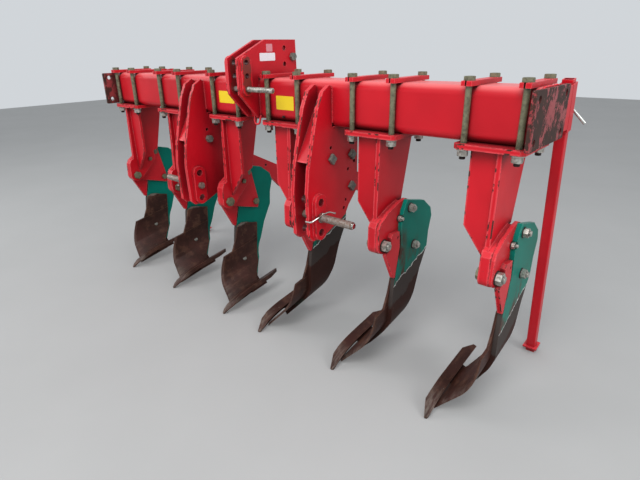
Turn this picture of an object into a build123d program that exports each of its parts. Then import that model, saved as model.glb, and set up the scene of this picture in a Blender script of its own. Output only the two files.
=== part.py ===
from build123d import *
import os
from math import cos, radians, sin

# Six-leg mounted subsoiler with bent legs that slope in towards the middle.
# Millimetres. X runs along the beam, Y rearwards (the tractor side is -Y), Z up.
# The origin is on the floor, under the middle of the machine's own box.

os.makedirs("parts", exist_ok=True)

# Clearances
seat = 0.3
pin_clearance = 0.5

# Main beam, a square hollow section
beam_size = 200.0
beam_corner = 34.0
beam_wall = 12.5
beam_bottom = 1128.0
beam_half_length = 1391.0
beam_top = beam_bottom + beam_size
beam_half = beam_size / 2

# How far the points reach ahead of the beam's middle and the rear arms behind it
tip_reach = 318.0
arm_reach = 515.0
beam_y = (tip_reach - arm_reach) / 2

# End plates
end_plate_thickness = 15.0
end_plate_depth = 375.0
end_plate_margin = 4.0
end_plate_hole = 26.0
end_plate_hole_y = 148.0
end_plate_hole_z = 69.0

# Places of the legs along the beam
leg_inset = 141.0
inner_leg_x = 215.75
middle_leg_share = 0.504

# Leg clamps: a base plate under the beam, straps over it and four long bolts
clamp_bolt = 24.0
clamp_bolt_x = 100.5
clamp_bolt_y = beam_half + clamp_bolt / 2 + 1.0
clamp_hole = 27.0
bolt_head_flats = 36.0
bolt_head_height = 15.0
nut_height = 22.0
washer_size = 48.0
washer_height = 6.0
thread_length = 12.0
strap_width = 40.0
strap_thickness = 18.0
strap_length = 275.0
base_width = 262.0
base_depth = 280.0
base_thickness = 20.0
base_chamfer = 14.0

# Layers of a leg's clamp, outwards from the middle of its base plate
web_inner = 31.0
web_thickness = 21.0
doubler_thickness = 20.0
pivot_plate_thickness = 16.0
tine_thickness = 20.0
web_outer = web_inner + web_thickness
doubler_outer = web_outer + doubler_thickness
pivot_plate_outer = doubler_outer + pivot_plate_thickness
tine_outer = pivot_plate_outer + tine_thickness

# Bracket web and its wing, distances ahead of and behind the beam's middle
web_front_top = -118.0
web_front_low = -128.0
web_rear_top = 142.0
web_rear_knee = 70.0
web_knee_z = 800.0
wing_front = -98.0
wing_thickness = 15.0
wing_reach = 75.0
wing_knee_z = 808.0
wing_low_z = 668.0

# Pivot, shear bolt and tine bolts, as (Y, Z)
pivot = (-122.0, 635.0)
shear_bolt = (-4.0, 733.0)
tine_bolt_top = (62.0, 771.0)
tine_bolt_low = (114.0, 572.0)
lobe_radius = 42.0
pivot_bolt_diameter = 30.0
tine_bolt_diameter = 24.0
shear_bolt_diameter = 16.0
bolt_hole_clearance = 1.0
shear_relief = 16.0
guard_hole = 12.0
guard_hole_place = (-33.0, 651.0)

# Bend of the tine: an arc that turns the blade in towards the middle
fold_rise = 11.4
bend_angle = 45.0
bend_radius = 160.0
bend_start = 265.0
blade_end = 122.0

# Shin and share on the inner face of the blade, their corners as (Y, Z)
shin_thickness = 10.0
shin_front = -97.0
share_thickness = 12.0
share_bevel = 8.0
share_end = 100.0
share_top_front = (-164.0, 279.0)
share_top_rear = (110.0, 330.0)
share_low_front = (-267.0, 0.0)

# Point: a bar whose wide face leans outwards, straight at the rear and bent down to its tip
point_width = 47.0
point_thickness = 23.0
point_lean = 22.0
point_rise = 8.5
point_x = -71.0
point_y = -110.0
point_z = 88.0
point_rear_length = 250.0
point_rear_cut = 85.0
point_curve = 590.0
point_turn = 22.0
point_edge = 8.0
point_chisel = 88.0

# Foot of the blade, the seat that the point lies on
foot_length = 125.0
foot_width = 63.0
foot_thickness = 16.0
foot_inset = 39.0

# Headstock
headstock_gap = 60.0
headstock_thickness = 15.0
headstock_top = 1503.0
headstock_front = -228.0
headstock_rear = 172.0
headstock_slope_top = -45.0
headstock_hole = 24.0
headstock_hole_y = 88.0
top_hole_y = -188.0
top_hole_z = 1279.0
top_hole_pitch = 61.0
top_hole = 26.0
boss_thickness = 18.0
boss_radius = 31.0
top_pin = 25.4
top_pin_start = -80.0
top_pin_end = 236.0

# Lower link brackets
link_inner_x = 410.0
link_plate_thickness = 20.0
link_gap = 65.0
link_hole_y = -207.0
link_hole_z = 655.0
link_hole_pitch = 73.0
link_pin = 36.0
link_hole = 37.0
link_boss_thickness = 20.0
link_boss_radius = 38.0
link_pin_reach = 715.0
link_pin_tail = 14.0
link_collar = 48.0
link_collar_length = 5.0
link_web_low = (-250.0, 985.0)
link_web_high = (-112.0, 1225.0)
link_web_depth = 18.0
link_outer_x = link_inner_x + 2 * link_plate_thickness + link_gap

# Rear arms for an implement that follows
arm_thickness = 20.0
arm_bolt_y = 45.0
arm_bolt_z = (824.0, 981.0)
arm_bolt = 24.0
arm_hole = (349.0, 739.0)
arm_hole_diameter = 18.0
arm_eye = (474.0, 628.0)
arm_eye_diameter = 31.0

# Spacer bolts through the link brackets and the headstock
bracket_bolt = (-106.0, 983.0)
headstock_bolt_y = 146.0

# Stands: a leaning square tube in a sleeve, held by a cranked pin from behind
stand_tube = 42.0
stand_wall = 4.0
stand_inset = 26.0
stand_foot_y = 472.0
stand_top_y = 311.0
stand_top_z = 1334.0
stand_travel = 600.0
collar_size = 66.0
collar_thickness = 8.0
collar_level = 26.0
sleeve_wall = 5.0
sleeve_gap = 0.5
sleeve_low_z = 1131.0
sleeve_high_z = 1320.0
lug_thickness = 15.0
lug_front = 168.0
stand_pin = 14.0
stand_pin_z = 1222.0
stand_pin_crank = 55.0


def side_plane(x):
    """A plane across the beam, its own X rearwards and its own Y up."""
    return Plane(origin=(x, beam_y, 0), x_dir=(0, 1, 0), z_dir=(1, 0, 0))


def deck_plane(z):
    """A level plane whose origin is under the beam's middle."""
    return Plane(origin=(0, beam_y, z), x_dir=(1, 0, 0), z_dir=(0, 0, 1))


fold_plane = Plane(
    origin=(0, beam_y, 0),
    x_dir=(1, 0, 0),
    z_dir=(0, -cos(radians(fold_rise)), -sin(radians(fold_rise))),
)


def bent_sides(inner, outer, end):
    """Both sides of one bent layer, from its straight top to the blade's lower end."""
    middle = (pivot_plate_outer + tine_outer) / 2
    turn = radians(bend_angle)
    sides = []
    for offset in (inner, outer):
        radius = bend_radius + offset
        centre_x = middle - bend_radius
        start = (centre_x + radius, bend_start)
        half = (centre_x + radius * cos(turn / 2), bend_start - radius * sin(turn / 2))
        stop = (centre_x + radius * cos(turn), bend_start - radius * sin(turn))
        tail = (stop[0] - end * sin(turn), stop[1] - end * cos(turn))
        sides.append((start, half, stop, tail))
    return sides


# Main beam
with BuildPart() as main_beam:
    with BuildSketch(Plane.YZ.offset(-beam_half_length)) as beam_section:
        with Locations((beam_y, beam_bottom + beam_half)):
            RectangleRounded(beam_size, beam_size, beam_corner)
            RectangleRounded(
                beam_size - 2 * beam_wall,
                beam_size - 2 * beam_wall,
                beam_corner - beam_wall,
                mode=Mode.SUBTRACT,
            )
    extrude(amount=2 * beam_half_length)
main_beam.part.label = "main_beam"
export_step(main_beam.part, "parts/main_beam.step")

# End plates, each with four bolt holes in its flange
end_centre = (0, beam_bottom + beam_half)
with BuildPart() as end_plate_right:
    with BuildSketch(side_plane(beam_half_length)) as end_outline:
        with Locations(end_centre):
            Rectangle(end_plate_depth, beam_size - end_plate_margin)
        fillet(end_outline.vertices(), 6)
        with Locations(end_centre):
            with GridLocations(2 * end_plate_hole_y, 2 * end_plate_hole_z, 2, 2):
                Circle(end_plate_hole / 2, mode=Mode.SUBTRACT)
    extrude(amount=end_plate_thickness)
with BuildPart() as end_plate_left:
    mirror(end_plate_right.part, about=Plane.YZ)

# Headstock plate, its boss and the lower nose that runs down the beam's front
headstock_rise = headstock_top - beam_top
headstock_foot = beam_bottom + 8
headstock_bolt = (headstock_bolt_y, beam_top + 0.53 * headstock_rise)
headstock_outline = [
    (headstock_slope_top, headstock_top),
    (headstock_rear, headstock_top),
    (headstock_rear + 6, beam_top + 12),
    (headstock_rear - 22, beam_top + seat),
    (-beam_half - seat, beam_top + seat),
    (-beam_half - seat, headstock_foot),
    (-beam_half - 16, headstock_foot),
    (headstock_front, headstock_foot + 120),
    (headstock_front, beam_top + 0.53 * headstock_rise),
]
headstock_holes = [
    (headstock_hole_y, beam_top + 0.77 * headstock_rise),
    (headstock_hole_y, beam_top + 0.33 * headstock_rise),
]
headstock_x = headstock_gap / 2
with BuildPart() as headstock_right:
    with BuildSketch(side_plane(headstock_x)) as headstock_shape:
        with BuildLine():
            Polyline(*headstock_outline, close=True)
        make_face()
        with Locations(*headstock_holes):
            Circle(headstock_hole / 2, mode=Mode.SUBTRACT)
        with Locations(headstock_bolt):
            Circle(arm_bolt / 2 + bolt_hole_clearance, mode=Mode.SUBTRACT)
    extrude(amount=headstock_thickness)
    with BuildSketch(side_plane(headstock_x + headstock_thickness)):
        with Locations((top_hole_y, top_hole_z + top_hole_pitch)):
            SlotCenterToCenter(2 * top_hole_pitch, 2 * boss_radius, rotation=90)
    extrude(amount=boss_thickness)
    with BuildSketch(side_plane(headstock_x)):
        with Locations((top_hole_y, top_hole_z + top_hole_pitch)):
            with GridLocations(1, top_hole_pitch, 1, 3):
                Circle(top_hole / 2)
    extrude(amount=headstock_thickness + boss_thickness, mode=Mode.SUBTRACT)
with BuildPart() as headstock_left:
    mirror(headstock_right.part, about=Plane.YZ)

with BuildPart() as top_link_pin:
    with BuildSketch(side_plane(top_pin_start)):
        with Locations((top_hole_y, top_hole_z)):
            Circle(top_pin / 2)
    extrude(amount=top_pin_end - top_pin_start)

# Lower link brackets: two hooked plates, a slanted web between and bosses outside
link_outline = [
    (-118, 1310),
    (-160, 1285),
    (-196, 1215),
    (-222, 1115),
    (-262, 960),
    (-275, 850),
    (-268, 640),
    (-245, 616),
    (-169, 616),
    (0, 686),
    (25, 727),
    (95, 799),
    (95, beam_bottom - seat),
    (-beam_half - seat, beam_bottom - seat),
    (-beam_half - seat, 1300),
]
link_holes_middle = (link_hole_y, link_hole_z + link_hole_pitch)
bracket_hole = 17.0
bracket_holes = [(-110, 1035), (68, 945), (20, 912), (2, 761), (-11, 723)]
with BuildPart() as link_bracket_right:
    for plate_x in (link_inner_x, link_outer_x - link_plate_thickness):
        with BuildSketch(side_plane(plate_x)):
            with BuildLine():
                Polyline(*link_outline, close=True)
            make_face()
        extrude(amount=link_plate_thickness)
    with BuildSketch(side_plane(link_inner_x + link_plate_thickness)):
        with BuildLine():
            Polyline(
                link_web_low,
                (link_web_low[0] + link_web_depth, link_web_low[1]),
                (link_web_high[0], link_web_high[1] - 30),
                link_web_high,
                close=True,
            )
        make_face()
    extrude(amount=link_gap)
    for boss_x in (link_inner_x - link_boss_thickness, link_outer_x):
        with BuildSketch(side_plane(boss_x)):
            with Locations(link_holes_middle):
                SlotCenterToCenter(2 * link_hole_pitch, 2 * link_boss_radius, rotation=90)
        extrude(amount=link_boss_thickness)
    with BuildSketch(side_plane(link_inner_x - link_boss_thickness)):
        with Locations(link_holes_middle):
            with GridLocations(1, link_hole_pitch, 1, 3):
                Circle(link_hole / 2)
        with Locations((arm_bolt_y, arm_bolt_z[0]), (arm_bolt_y, arm_bolt_z[1]), bracket_bolt):
            Circle(arm_bolt / 2 + bolt_hole_clearance)
        with Locations(*bracket_holes):
            Circle(bracket_hole / 2)
    extrude(
        amount=link_outer_x - link_inner_x + 2 * link_boss_thickness,
        mode=Mode.SUBTRACT,
    )
with BuildPart() as link_bracket_left:
    mirror(link_bracket_right.part, about=Plane.YZ)

# Link pin: through both plates, with a collar against the outer boss
link_pin_start = link_inner_x - link_boss_thickness - link_pin_tail
with BuildPart() as link_pin_right:
    with BuildSketch(side_plane(link_pin_start)):
        with Locations(link_holes_middle):
            Circle(link_pin / 2)
    extrude(amount=link_pin_reach - link_pin_start)
    with BuildSketch(side_plane(link_outer_x + link_boss_thickness + seat)):
        with Locations(link_holes_middle):
            Circle(link_collar / 2)
    extrude(amount=link_collar_length)
with BuildPart() as link_pin_left:
    mirror(link_pin_right.part, about=Plane.YZ)

# Rear arms
arm_outline = [
    (-10, 1015),
    (82, 1015),
    (110, 895),
    (266, 817),
    (455, 723),
    (arm_reach, 650),
    (500, 545),
    (470, 566),
    (381, 655),
    (154, 775),
    (60, 790),
    (-10, 800),
]
arm_x = link_inner_x + link_plate_thickness
with BuildPart() as rear_arm_right:
    with BuildSketch(side_plane(arm_x)):
        with BuildLine():
            Polyline(*arm_outline, close=True)
        make_face()
        with Locations((arm_bolt_y, arm_bolt_z[0]), (arm_bolt_y, arm_bolt_z[1])):
            Circle(arm_bolt / 2 + bolt_hole_clearance, mode=Mode.SUBTRACT)
        with Locations(arm_hole):
            Circle(arm_hole_diameter / 2, mode=Mode.SUBTRACT)
        with Locations(arm_eye):
            Circle(arm_eye_diameter / 2, mode=Mode.SUBTRACT)
    extrude(amount=arm_thickness)
with BuildPart() as rear_arm_left:
    mirror(rear_arm_right.part, about=Plane.YZ)

# Bolts of the frame: place, first face, last face
frame_bolt_rows = [
    ((arm_bolt_y, arm_bolt_z[0]), link_inner_x, link_outer_x),
    ((arm_bolt_y, arm_bolt_z[1]), link_inner_x, link_outer_x),
    (bracket_bolt, link_inner_x, link_outer_x),
]
headstock_face = headstock_gap / 2 + headstock_thickness
with BuildPart() as frame_bolts:
    for place, near_x, far_x in frame_bolt_rows:
        with BuildSketch(side_plane(near_x)):
            with Locations(place):
                Circle(arm_bolt / 2)
        extrude(amount=far_x - near_x)
        with BuildSketch(side_plane(far_x)):
            with Locations(place):
                Rectangle(bolt_head_flats, bolt_head_flats, rotation=45)
        extrude(amount=bolt_head_height)
        with BuildSketch(side_plane(near_x - nut_height)):
            with Locations(place):
                RegularPolygon(bolt_head_flats / 2, 6, major_radius=False)
        extrude(amount=nut_height)
    mirror(about=Plane.YZ)
    with BuildSketch(side_plane(-headstock_face)):
        with Locations(headstock_bolt):
            Circle(arm_bolt / 2)
    extrude(amount=2 * headstock_face)
    with BuildSketch(side_plane(headstock_face)):
        with Locations(headstock_bolt):
            RegularPolygon(bolt_head_flats / 2, 6, major_radius=False)
    extrude(amount=bolt_head_height)
    with BuildSketch(side_plane(-headstock_face - nut_height)):
        with Locations(headstock_bolt):
            RegularPolygon(bolt_head_flats / 2, 6, major_radius=False)
    extrude(amount=nut_height)

# Leg pieces, drawn once for a right-hand leg whose clamp is centred on X = 0
web_outline = [
    (web_front_top, beam_bottom - base_thickness),
    (web_rear_top, beam_bottom - base_thickness),
    (web_rear_knee, web_knee_z),
    (20, 780),
    (web_front_low, 740),
]
bracket_arm_outline = [
    (pivot[0] - lobe_radius, pivot[1]),
    (-162, 722),
    (-148, 745),
    (-46, 787),
    (28, 806),
    (38, 760),
    (36, 722),
    (-88, 602),
]
with BuildPart() as bracket:
    with BuildSketch(deck_plane(beam_bottom - base_thickness)) as base_outline:
        Rectangle(base_width, base_depth)
        chamfer(base_outline.vertices(), base_chamfer)
        with GridLocations(2 * clamp_bolt_x, 2 * clamp_bolt_y, 2, 2):
            Circle(clamp_hole / 2, mode=Mode.SUBTRACT)
    extrude(amount=base_thickness)
    with BuildSketch(side_plane(web_inner)):
        with BuildLine():
            Polyline(*web_outline, close=True)
        make_face()
    extrude(amount=web_thickness)
    wing_plane = Plane(origin=(0, beam_y + wing_front, 0), x_dir=(1, 0, 0), z_dir=(0, -1, 0))
    with BuildSketch(wing_plane):
        with BuildLine():
            Polyline(
                (web_inner, beam_bottom - base_thickness),
                (-wing_reach, beam_bottom - base_thickness),
                (-wing_reach, wing_knee_z),
                (web_inner, wing_low_z),
                close=True,
            )
        make_face()
    extrude(amount=-wing_thickness)
    with BuildSketch(side_plane(web_inner)):
        with BuildLine():
            Polyline(*bracket_arm_outline, close=True)
        make_face()
        with Locations(pivot):
            Circle(lobe_radius)
    extrude(amount=doubler_outer - web_inner)
    with BuildSketch(side_plane(web_inner)):
        with Locations(pivot):
            Circle(pivot_bolt_diameter / 2 + bolt_hole_clearance)
        with Locations(shear_bolt):
            Circle(shear_bolt_diameter / 2 + bolt_hole_clearance)
    extrude(amount=doubler_outer - web_inner, mode=Mode.SUBTRACT)

# Pivot plate, with the guard plate that lies ahead of the tine
pivot_plate_outline = [
    (pivot[0] - lobe_radius + 2, pivot[1]),
    (-158, 715),
    (-144, 742),
    (-91, 778),
    (0, 808),
    (50, 815),
    (86, 800),
    (142, 560),
    (128, 528),
    (-100, 594),
]
guard_outline = [
    (-90, 664),
    (-76, 680),
    (-22, 678),
    (-12, 600),
    (-44, 452),
    (-56, 452),
    (-128, 590),
    (-90, 640),
]
with BuildPart() as pivot_plate:
    with BuildSketch(side_plane(doubler_outer)):
        with BuildLine():
            Polyline(*pivot_plate_outline, close=True)
        make_face()
        with Locations(pivot):
            Circle(lobe_radius - 2)
        with Locations(pivot):
            Circle(pivot_bolt_diameter / 2 + bolt_hole_clearance, mode=Mode.SUBTRACT)
        with Locations(shear_bolt):
            Circle(shear_bolt_diameter / 2 + bolt_hole_clearance, mode=Mode.SUBTRACT)
        with Locations(tine_bolt_top, tine_bolt_low):
            Circle(tine_bolt_diameter / 2 + bolt_hole_clearance, mode=Mode.SUBTRACT)
    extrude(amount=pivot_plate_thickness)
    with BuildSketch(side_plane(pivot_plate_outer)):
        with BuildLine():
            Polyline(*guard_outline, close=True)
        make_face()
        with Locations(pivot):
            Circle(lobe_radius - 8, mode=Mode.SUBTRACT)
        with Locations(guard_hole_place):
            Circle(guard_hole / 2, mode=Mode.SUBTRACT)
    extrude(amount=tine_thickness)

# Tine, shin, share and point
tine_outline = [
    (36, 814),
    (190, 776),
    (262, 722),
    (278, 676),
    (256, 600),
    (250, 520),
    (190, 414),
    (154, 310),
    (125, 248),
    (91, 165),
    (30, 85),
    (-45, -20),
    (-215, -20),
    (-200, 20),
    (-170, 110),
    (-130, 200),
    (-85, 290),
    (-58, 330),
    (-60, 430),
    (-38, 452),
    (0, 606),
    (-4, 706),
    (10, 769),
]
share_slope = (share_top_rear[1] - share_top_front[1]) / (share_top_rear[0] - share_top_front[0])
shin_low_front = (shin_front, share_top_front[1] + (shin_front - share_top_front[0]) * share_slope)
shin_outline = [
    (-40, 446),
    (-8, 458),
    (34, 452),
    (72, 438),
    (118, 427),
    share_top_rear,
    shin_low_front,
    (-63, 365),
]
share_outline = [
    share_top_front,
    share_top_rear,
    (98, 250),
    (75, 190),
    (26, 143),
    (-8, 110),
    (-90, 0),
    share_low_front,
]
half_tine = tine_thickness / 2


def blade_solid(inner, outer, end, outline):
    """One layer of the bent blade, cut to its outline seen from the side."""
    near, far = bent_sides(inner, outer, end)
    near_top = (near[0][0], beam_bottom)
    far_top = (far[0][0], beam_bottom)
    with BuildPart() as layer:
        with BuildSketch(fold_plane):
            with BuildLine():
                Line(near_top, near[0])
                ThreePointArc(near[0], near[1], near[2])
                Line(near[2], near[3])
                Line(near[3], far[3])
                Line(far[3], far[2])
                ThreePointArc(far[2], far[1], far[0])
                Line(far[0], far_top)
                Line(far_top, near_top)
            make_face()
        extrude(amount=beam_bottom, both=True)
        with BuildSketch(side_plane(-beam_bottom)):
            with BuildLine():
                Polyline(*outline, close=True)
            make_face()
        extrude(amount=2 * beam_bottom, mode=Mode.INTERSECT)
    return layer.part


# The point's section plane, where its straight rear part meets the bend
lean = radians(point_lean)
rise = radians(point_rise)
point_plane = Plane(
    origin=(point_x, beam_y + point_y, point_z),
    x_dir=(cos(lean), sin(lean) * sin(rise), -sin(lean) * cos(rise)),
    z_dir=(0, -cos(rise), -sin(rise)),
)
point_bend_centre = (
    point_x,
    beam_y + point_y + point_curve * sin(rise),
    point_z - point_curve * cos(rise),
)
point_outline = [
    (-tip_reach, 0),
    (-tip_reach, point_edge),
    (-tip_reach + point_chisel, point_edge + 0.73 * point_chisel),
    (-tip_reach + point_chisel, beam_bottom),
    (beam_bottom, beam_bottom),
    (beam_bottom, 0),
]
point_rear = point_y + point_rear_length
point_plan = [
    (point_x - point_width, point_rear - point_rear_cut - point_width),
    (point_x + point_thickness, point_rear + point_thickness),
    (point_x + point_width, point_rear + point_thickness),
    (point_x + point_width, 60 - tip_reach),
    (point_x + 13, -tip_reach),
    (point_x - 8, -tip_reach),
    (point_x - point_width, 70 - tip_reach),
]
with BuildPart() as point:
    with BuildSketch(point_plane) as point_section:
        Rectangle(point_width, point_thickness)
    extrude(amount=-point_rear_length)
    revolve(
        point_section.sketch,
        axis=Axis(point_bend_centre, (1, 0, 0)),
        revolution_arc=point_turn,
    )
    with BuildSketch(side_plane(-beam_bottom)):
        with BuildLine():
            Polyline(*point_outline, close=True)
        make_face()
    extrude(amount=2 * beam_bottom, mode=Mode.INTERSECT)
    with BuildSketch(deck_plane(0)):
        with BuildLine():
            Polyline(*point_plan, close=True)
        make_face()
    extrude(amount=beam_bottom, mode=Mode.INTERSECT)

with BuildPart() as tine:
    add(blade_solid(-half_tine, half_tine, blade_end, tine_outline))
    with BuildSketch(point_plane):
        with Locations((foot_width / 2 - foot_inset + point_width / 2, -point_thickness / 2 - foot_thickness / 2)):
            Rectangle(foot_width, foot_thickness)
    extrude(amount=-foot_length)
    with BuildSketch(side_plane(pivot_plate_outer)):
        with Locations(tine_bolt_top, tine_bolt_low):
            Circle(tine_bolt_diameter / 2 + bolt_hole_clearance)
        with Locations(shear_bolt):
            Circle(shear_relief)
    extrude(amount=tine_thickness, mode=Mode.SUBTRACT)
with BuildPart() as shin:
    add(blade_solid(-half_tine - shin_thickness, -half_tine, share_end, shin_outline))
with BuildPart() as share:
    add(blade_solid(-half_tine - share_thickness, -half_tine, share_end, share_outline))
    front_faces = share.faces().filter_by(lambda face: face.normal_at().Y < -0.5)
    inner_faces = share.faces().filter_by(lambda face: face.normal_at().X < -0.3 and face.normal_at().Z > -0.3)
    inner_edges = inner_faces.edges()
    chamfer([edge for edge in front_faces.edges() if any(map(edge.is_same, inner_edges))], share_bevel)

# Bolts of one leg: diameter, head flats, head height, inner face, outer face, place
bolt_rows = [
    (pivot_bolt_diameter, 46.0, 18.0, web_inner, pivot_plate_outer, pivot),
    (shear_bolt_diameter, 24.0, 10.0, web_inner, pivot_plate_outer, shear_bolt),
    (tine_bolt_diameter, 36.0, 15.0, doubler_outer, tine_outer, tine_bolt_top),
    (tine_bolt_diameter, 36.0, 15.0, doubler_outer, tine_outer, tine_bolt_low),
]
with BuildPart() as leg_bolt_set:
    for diameter, flats, head, near_x, far_x, place in bolt_rows:
        with BuildSketch(side_plane(near_x)):
            with Locations(place):
                Circle(diameter / 2)
        extrude(amount=far_x - near_x)
        with BuildSketch(side_plane(near_x - head)):
            with Locations(place):
                RegularPolygon(flats / 2, 6, major_radius=False)
        extrude(amount=head)
        with BuildSketch(side_plane(far_x)):
            with Locations(place):
                RegularPolygon(flats / 2, 6, major_radius=False)
        extrude(amount=diameter * 0.8)

# Legs: name, clamp centre, hand (1 right, -1 left)
outer_leg_x = beam_half_length - leg_inset
middle_leg_x = inner_leg_x + middle_leg_share * (outer_leg_x - inner_leg_x)
legs = [
    ("leg_1", -outer_leg_x, -1),
    ("leg_2", -middle_leg_x, -1),
    ("leg_3", -inner_leg_x, -1),
    ("leg_4", inner_leg_x, 1),
    ("leg_5", middle_leg_x, 1),
    ("leg_6", outer_leg_x, 1),
]
leg_pieces = [
    ("bracket", bracket),
    ("pivot_plate", pivot_plate),
    ("tine", tine),
    ("shin", shin),
    ("share", share),
    ("point", point),
]
for leg_name, leg_x, hand in legs:
    for piece_name, master in leg_pieces:
        with BuildPart() as piece:
            with Locations((leg_x, 0, 0)):
                if hand > 0:
                    add(master.part)
                else:
                    add(master.part.mirror(Plane.YZ))
        piece.part.label = leg_name + "_" + piece_name
        export_step(piece.part, "parts/" + piece.part.label + ".step")

with BuildPart() as leg_bolts:
    for leg_name, leg_x, hand in legs:
        with Locations((leg_x, 0, 0)):
            if hand > 0:
                add(leg_bolt_set.part)
            else:
                add(leg_bolt_set.part.mirror(Plane.YZ))

# Straps and long bolts of the clamps
clamp_x = [leg_x + side * clamp_bolt_x for leg_name, leg_x, hand in legs for side in (-1, 1)]
strap_top = beam_top + strap_thickness
with BuildPart() as clamp_straps:
    with BuildSketch(deck_plane(beam_top)):
        with Locations(*[(x, 0) for x in clamp_x]):
            Rectangle(strap_width, strap_length)
        with Locations(*[(x, y) for x in clamp_x for y in (-clamp_bolt_y, clamp_bolt_y)]):
            Circle(clamp_hole / 2, mode=Mode.SUBTRACT)
    extrude(amount=strap_thickness)

nut_seat = beam_bottom - base_thickness
with BuildPart() as clamp_bolts:
    places = [(x, y) for x in clamp_x for y in (-clamp_bolt_y, clamp_bolt_y)]
    with BuildSketch(deck_plane(strap_top)):
        with Locations(*places):
            RegularPolygon(bolt_head_flats / 2, 6, major_radius=False)
    extrude(amount=bolt_head_height)
    shank_end = nut_seat - washer_height - nut_height - thread_length
    with BuildSketch(deck_plane(shank_end)):
        with Locations(*places):
            Circle(clamp_bolt / 2)
    extrude(amount=strap_top - shank_end)
    with BuildSketch(deck_plane(nut_seat - washer_height)):
        with Locations(*places):
            Circle(washer_size / 2)
    extrude(amount=washer_height)
    with BuildSketch(deck_plane(nut_seat - washer_height - nut_height)):
        with Locations(*places):
            RegularPolygon(bolt_head_flats / 2, 6, major_radius=False)
    extrude(amount=nut_height)

# Stands: a leaning square tube with a collar above its foot
stand_x = beam_half_length - stand_inset
stand_foot = Vector(stand_x, beam_y + stand_foot_y, 0)
stand_top = Vector(stand_x, beam_y + stand_top_y, stand_top_z)
stand_axis = (stand_top - stand_foot).normalized()
stand_length = (stand_top - stand_foot).length
stand_plane = Plane(origin=stand_foot, x_dir=(1, 0, 0), z_dir=stand_axis)
foot_spare = stand_tube
pin_along = stand_pin_z / stand_axis.Z
pin_plane = Plane(stand_plane.offset(pin_along).origin, x_dir=(1, 0, 0), z_dir=stand_plane.y_dir)
with BuildPart() as stand_right:
    with BuildSketch(stand_plane.offset(-foot_spare)):
        RectangleRounded(stand_tube, stand_tube, stand_wall)
        Rectangle(stand_tube - 2 * stand_wall, stand_tube - 2 * stand_wall, mode=Mode.SUBTRACT)
    extrude(amount=stand_length + foot_spare)
    with BuildSketch(stand_plane.offset(collar_level)):
        Rectangle(collar_size, collar_size)
        Rectangle(stand_tube - stand_wall, stand_tube - stand_wall, mode=Mode.SUBTRACT)
    extrude(amount=collar_thickness)
    with BuildSketch(deck_plane(0)):
        with Locations((stand_x, stand_foot_y)):
            Rectangle(2 * collar_size, 2 * collar_size)
    extrude(amount=-2 * foot_spare, mode=Mode.SUBTRACT)
    for along in (pin_along, pin_along - stand_travel):
        with BuildSketch(Plane(stand_plane.offset(along).origin, x_dir=(1, 0, 0), z_dir=stand_plane.y_dir)):
            Circle(stand_pin / 2 + pin_clearance)
        extrude(amount=stand_tube, mode=Mode.SUBTRACT)
with BuildPart() as stand_left:
    mirror(stand_right.part, about=Plane.YZ)

# Sleeve of a stand, on a lug that is welded behind the end plate
sleeve_inner = stand_tube + 2 * sleeve_gap
sleeve_outer = sleeve_inner + 2 * sleeve_wall
sleeve_low = sleeve_low_z / stand_axis.Z
sleeve_high = sleeve_high_z / stand_axis.Z
with BuildPart() as stand_socket_right:
    with BuildSketch(stand_plane.offset(sleeve_low)):
        Rectangle(sleeve_outer, sleeve_outer)
    extrude(amount=sleeve_high - sleeve_low)
    with BuildSketch(side_plane(beam_half_length - lug_thickness)):
        with BuildLine():
            Polyline(
                (lug_front, sleeve_high_z - 6),
                (stand_top_y, sleeve_high_z - 6),
                (stand_top_y + 12, sleeve_low_z + 12),
                (lug_front, sleeve_low_z + 12),
                close=True,
            )
        make_face()
    extrude(amount=lug_thickness - seat)
    with BuildSketch(stand_plane.offset(sleeve_low - sleeve_wall)):
        Rectangle(sleeve_inner, sleeve_inner)
    extrude(amount=sleeve_high - sleeve_low + 2 * sleeve_wall, mode=Mode.SUBTRACT)
    with BuildSketch(pin_plane):
        Circle(stand_pin / 2 + pin_clearance)
    extrude(amount=sleeve_outer, mode=Mode.SUBTRACT)
with BuildPart() as stand_socket_left:
    mirror(stand_socket_right.part, about=Plane.YZ)

# Cranked pin: straight through the sleeve's rear wall, then out and down
pin_start = stand_tube / 2 + sleeve_gap
pin_bend = 14.0
crank = Vector(1, 0, -1).normalized() * stand_pin_crank
pin_from = pin_plane.origin + pin_plane.z_dir * pin_start
pin_corner = pin_from + pin_plane.z_dir * (sleeve_wall + 2 * pin_bend)
with BuildPart() as stand_pin_right:
    with BuildLine() as pin_path:
        FilletPolyline(pin_from, pin_corner, pin_corner + crank, radius=pin_bend)
    with BuildSketch(Plane(pin_from, x_dir=(1, 0, 0), z_dir=stand_plane.y_dir)):
        Circle(stand_pin / 2)
    sweep(path=pin_path.wires()[0])
with BuildPart() as stand_pin_left:
    mirror(stand_pin_right.part, about=Plane.YZ)

others = {
    "end_plate_right": end_plate_right,
    "end_plate_left": end_plate_left,
    "headstock_right": headstock_right,
    "headstock_left": headstock_left,
    "top_link_pin": top_link_pin,
    "link_bracket_right": link_bracket_right,
    "link_bracket_left": link_bracket_left,
    "link_pin_right": link_pin_right,
    "link_pin_left": link_pin_left,
    "rear_arm_right": rear_arm_right,
    "rear_arm_left": rear_arm_left,
    "frame_bolts": frame_bolts,
    "leg_bolts": leg_bolts,
    "clamp_straps": clamp_straps,
    "clamp_bolts": clamp_bolts,
    "stand_right": stand_right,
    "stand_left": stand_left,
    "stand_socket_right": stand_socket_right,
    "stand_socket_left": stand_socket_left,
    "stand_pin_right": stand_pin_right,
    "stand_pin_left": stand_pin_left,
}
for name, made in others.items():
    made.part.label = name
    export_step(made.part, "parts/" + name + ".step")
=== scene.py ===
from math import cos, pi, radians, sin, tan
from random import Random

import bmesh
import bpy
from mathutils import Matrix, Vector


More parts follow.
